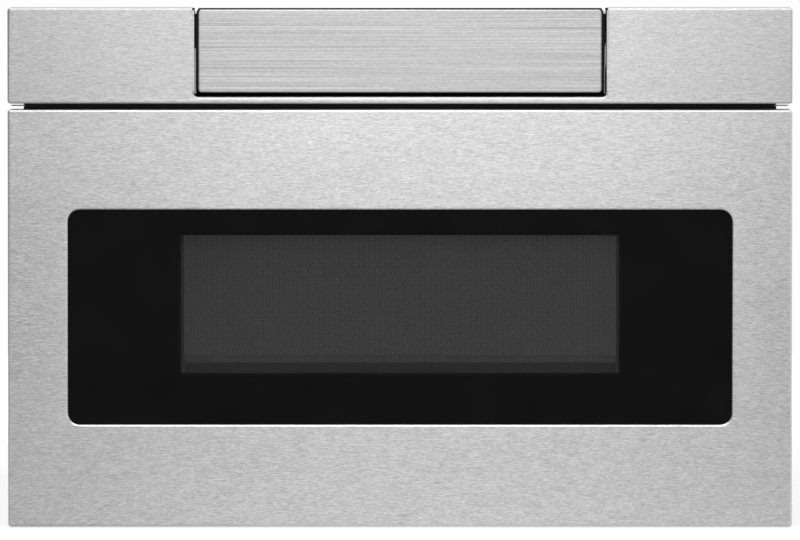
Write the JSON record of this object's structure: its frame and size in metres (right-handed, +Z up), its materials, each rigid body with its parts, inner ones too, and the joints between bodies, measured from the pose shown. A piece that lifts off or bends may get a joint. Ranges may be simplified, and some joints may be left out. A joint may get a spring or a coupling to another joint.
{
  "type": "microwave drawer",
  "caption": "Built-in microwave oven drawer with a stainless front, a black glass window and a control module that tips forward out of the top panel.",
  "frame": {"origin": "centre of the base plate's underside, where the chassis stands on the cabinet shelf", "axes": "+X to the right of someone facing the front, +Y back into the cabinet, +Z up"},
  "size_m": [0.6064, 0.597, 0.4016],
  "materials": {
    "stainless": "fine horizontal brushing",
    "galvanised_steel": "dull zinc spangle",
    "black_steel": "satin black powder coat",
    "black_plastic": "fine grain",
    "black_glass": "polished, printed black on the back",
    "clear_glass": "polished",
    "window_screen": "grey coated sheet",
    "cavity_enamel": "satin grey enamel",
    "tray_ceramic": "glazed",
    "white_plastic": "moulded",
    "bright_steel": "zinc plated",
    "transformer_iron": "varnished laminations and windings",
    "circuit_board": "green solder mask",
    "mica": "pressed mica sheet"
  },
  "bodies": {
    "chassis": {"base_plate": "galvanised_steel", "side_panel_left": "galvanised_steel", "side_panel_right": "galvanised_steel", "rear_panel": "galvanised_steel", "top_cover": "galvanised_steel", "cord_gland": "black_plastic", "front_frame": "black_steel", "top_panel": "stainless", "module_cradle": "black_plastic", "oven_cavity": "cavity_enamel", "oven_lamp": "clear_glass", "stirrer_dome": "galvanised_steel", "splatter_cover": "mica", "stirrer_motor": "bright_steel", "waveguide": "galvanised_steel", "magnetron": "bright_steel", "hv_transformer": "transformer_iron", "hv_capacitor": "bright_steel", "power_board": "circuit_board", "blower_case": "galvanised_steel", "blower_motor": "bright_steel", "rail_outer_left": "bright_steel", "rail_outer_right": "bright_steel", "shaft_bush_left": "white_plastic", "shaft_bush_right": "white_plastic", "interlock_switch_left": "black_plastic", "interlock_switch_right": "black_plastic", "drive_motor": "bright_steel"},
    "drawer": {"door_skin": "stainless", "door_glass": "black_glass", "glass_retainer": "black_plastic", "choke_frame": "black_steel", "window_screen": "window_screen", "inner_window": "clear_glass", "choke_cover": "black_plastic", "drawer_tub": "cavity_enamel", "ceramic_tray": "tray_ceramic", "latch_hook_left": "black_plastic", "latch_hook_right": "black_plastic", "drawer_arm_left": "galvanised_steel", "drawer_arm_right": "galvanised_steel", "rack_left": "white_plastic", "rack_right": "white_plastic", "rail_inner_left": "bright_steel", "rail_inner_right": "bright_steel"},
    "slide_left": {"rail_middle_left": "bright_steel"},
    "slide_right": {"rail_middle_right": "bright_steel"},
    "drive_shaft": {"drive_shaft": "bright_steel", "pinion_left": "white_plastic", "pinion_right": "white_plastic", "shaft_gear": "white_plastic"},
    "motor_rotor": {"motor_pinion": "bright_steel"},
    "control_module": {"module_fascia": "stainless", "module_shell": "black_plastic", "key_glass": "black_glass", "control_board": "circuit_board"},
    "blower_rotor": {"blower_wheel": "white_plastic"},
    "stirrer": {"stirrer_blade": "bright_steel"},
    "plunger_left": {"interlock_plunger_left": "white_plastic"},
    "plunger_right": {"interlock_plunger_right": "white_plastic"}
  },
  "joints": [
    {"name": "drawer_slide", "type": "slide", "parent": "chassis", "child": "drawer", "axis": [0, -1, 0], "range_m": [0, 0.385]},
    {"name": "slide_left_travel", "type": "slide", "parent": "chassis", "child": "slide_left", "axis": [0, -1, 0], "range_m": [0, 0.1925]},
    {"name": "slide_right_travel", "type": "slide", "parent": "chassis", "child": "slide_right", "axis": [0, -1, 0], "range_m": [0, 0.1925]},
    {"name": "drive_shaft_spin", "type": "hinge", "parent": "chassis", "child": "drive_shaft", "pos_m": [0, -0.235, 0.042], "axis": [1, 0, 0], "range_deg": [-2, 1228]},
    {"name": "motor_pinion_spin", "type": "hinge", "parent": "chassis", "child": "motor_rotor", "pos_m": [0.054, -0.2095, 0.042], "axis": [1, 0, 0], "range_deg": [-2250, 4]},
    {"name": "module_tilt", "type": "hinge", "parent": "chassis", "child": "control_module", "pos_m": [0, -0.306, 0.3276], "axis": [1, 0, 0], "range_deg": [0, 72]},
    {"name": "blower_spin", "type": "hinge", "parent": "chassis", "child": "blower_rotor", "pos_m": [0.16, 0.24, 0.2162], "axis": [0, 1, 0], "continuous": true},
    {"name": "stirrer_spin", "type": "hinge", "parent": "chassis", "child": "stirrer", "pos_m": [0, -0.07, 0.27], "axis": [0, 0, 1], "continuous": true},
    {"name": "plunger_left_press", "type": "slide", "parent": "chassis", "child": "plunger_left", "axis": [0, 0, 1], "range_m": [0, 0.002], "stiffness_N_per_m": 300, "springref_m": -0.003},
    {"name": "plunger_right_press", "type": "slide", "parent": "chassis", "child": "plunger_right", "axis": [0, 0, 1], "range_m": [0, 0.002], "stiffness_N_per_m": 300, "springref_m": -0.003}
  ],
  "couplings": [
    {"joint": "slide_left_travel", "follows": "drawer_slide", "ratio": 0.5},
    {"joint": "slide_right_travel", "follows": "drawer_slide", "ratio": 0.5},
    {"joint": "drive_shaft_spin", "follows": "drawer_slide", "rad_per_m": 55.556},
    {"joint": "motor_pinion_spin", "follows": "drawer_slide", "rad_per_m": -101.85}
  ]
}
